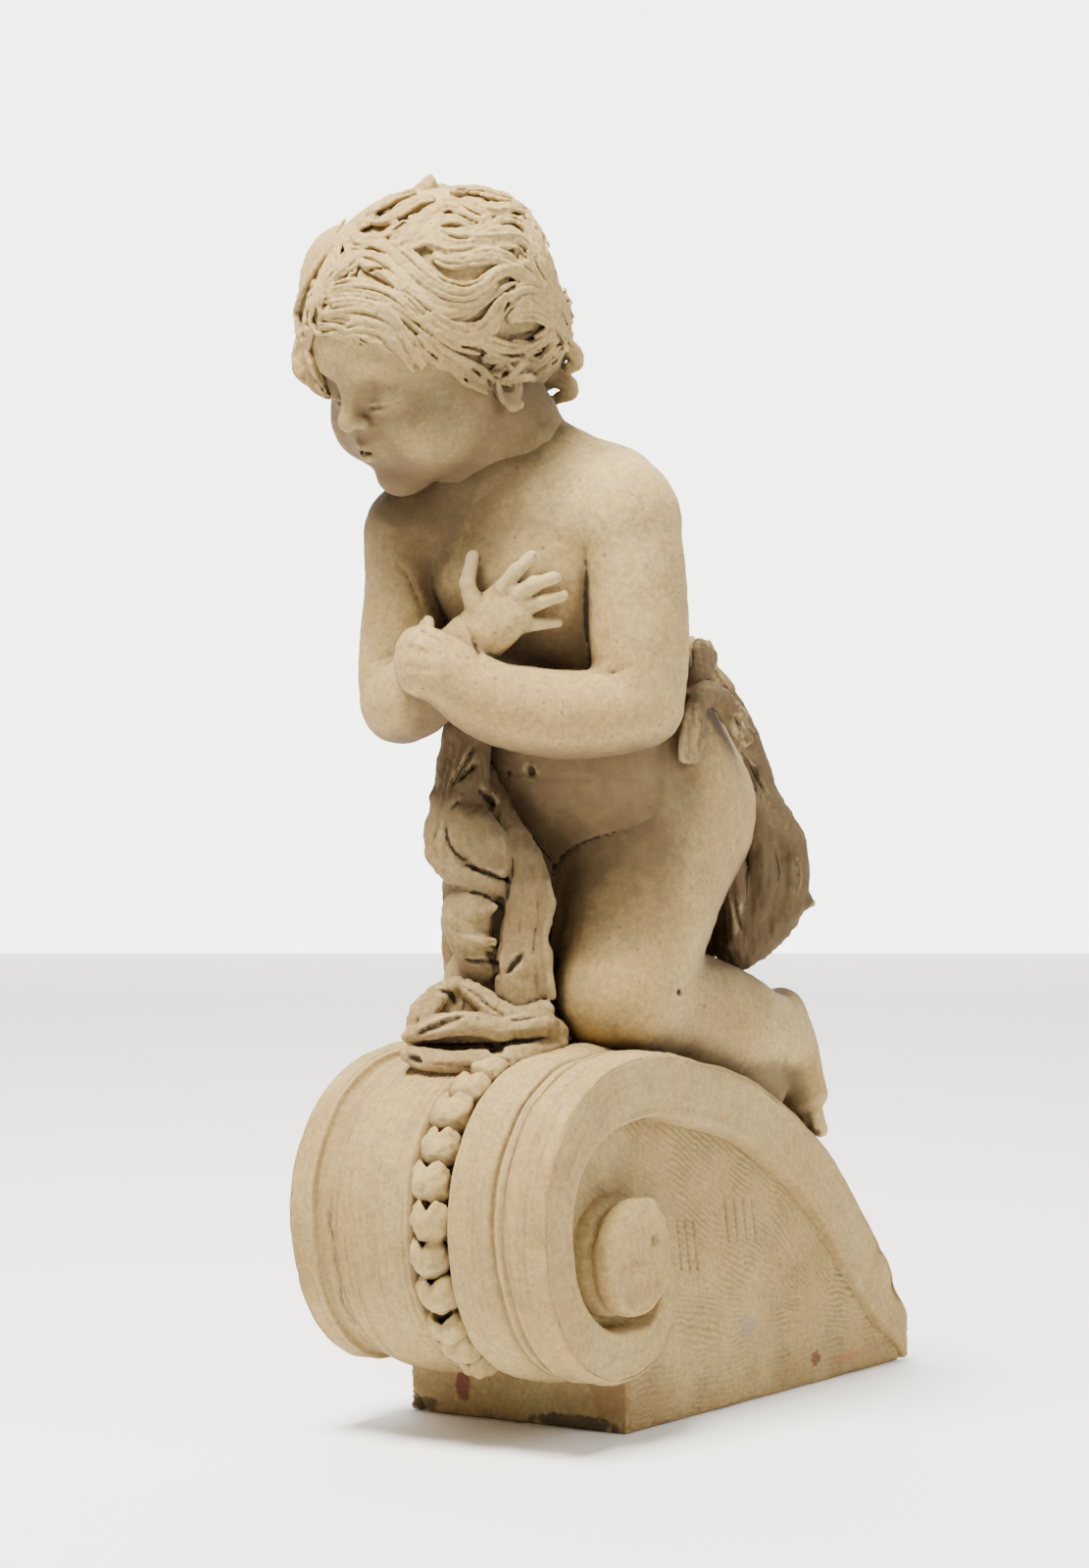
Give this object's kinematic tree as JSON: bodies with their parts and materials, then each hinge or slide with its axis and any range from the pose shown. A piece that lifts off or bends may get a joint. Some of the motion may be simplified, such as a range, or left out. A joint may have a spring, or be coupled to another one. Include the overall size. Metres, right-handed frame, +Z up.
{
  "type": "terracotta putto statue on a console scroll",
  "caption": "Kneeling child figure with crossed arms and a knotted cloth, on a moulded console scroll, in one piece of fired clay.",
  "frame": {"origin": "centre of the flat underside of the console", "axes": "+Z up, -Y to the front, where the scroll is, +X to the figure's left"},
  "size_m": [0.1693, 0.3383, 0.5685],
  "materials": {
    "terracotta": "unglazed buff fired clay, matt, with tool marks, pits and brown-grey dirt in the hollows"
  },
  "bodies": {
    "root": {"putto_on_console": "terracotta"}
  },
  "joints": []
}
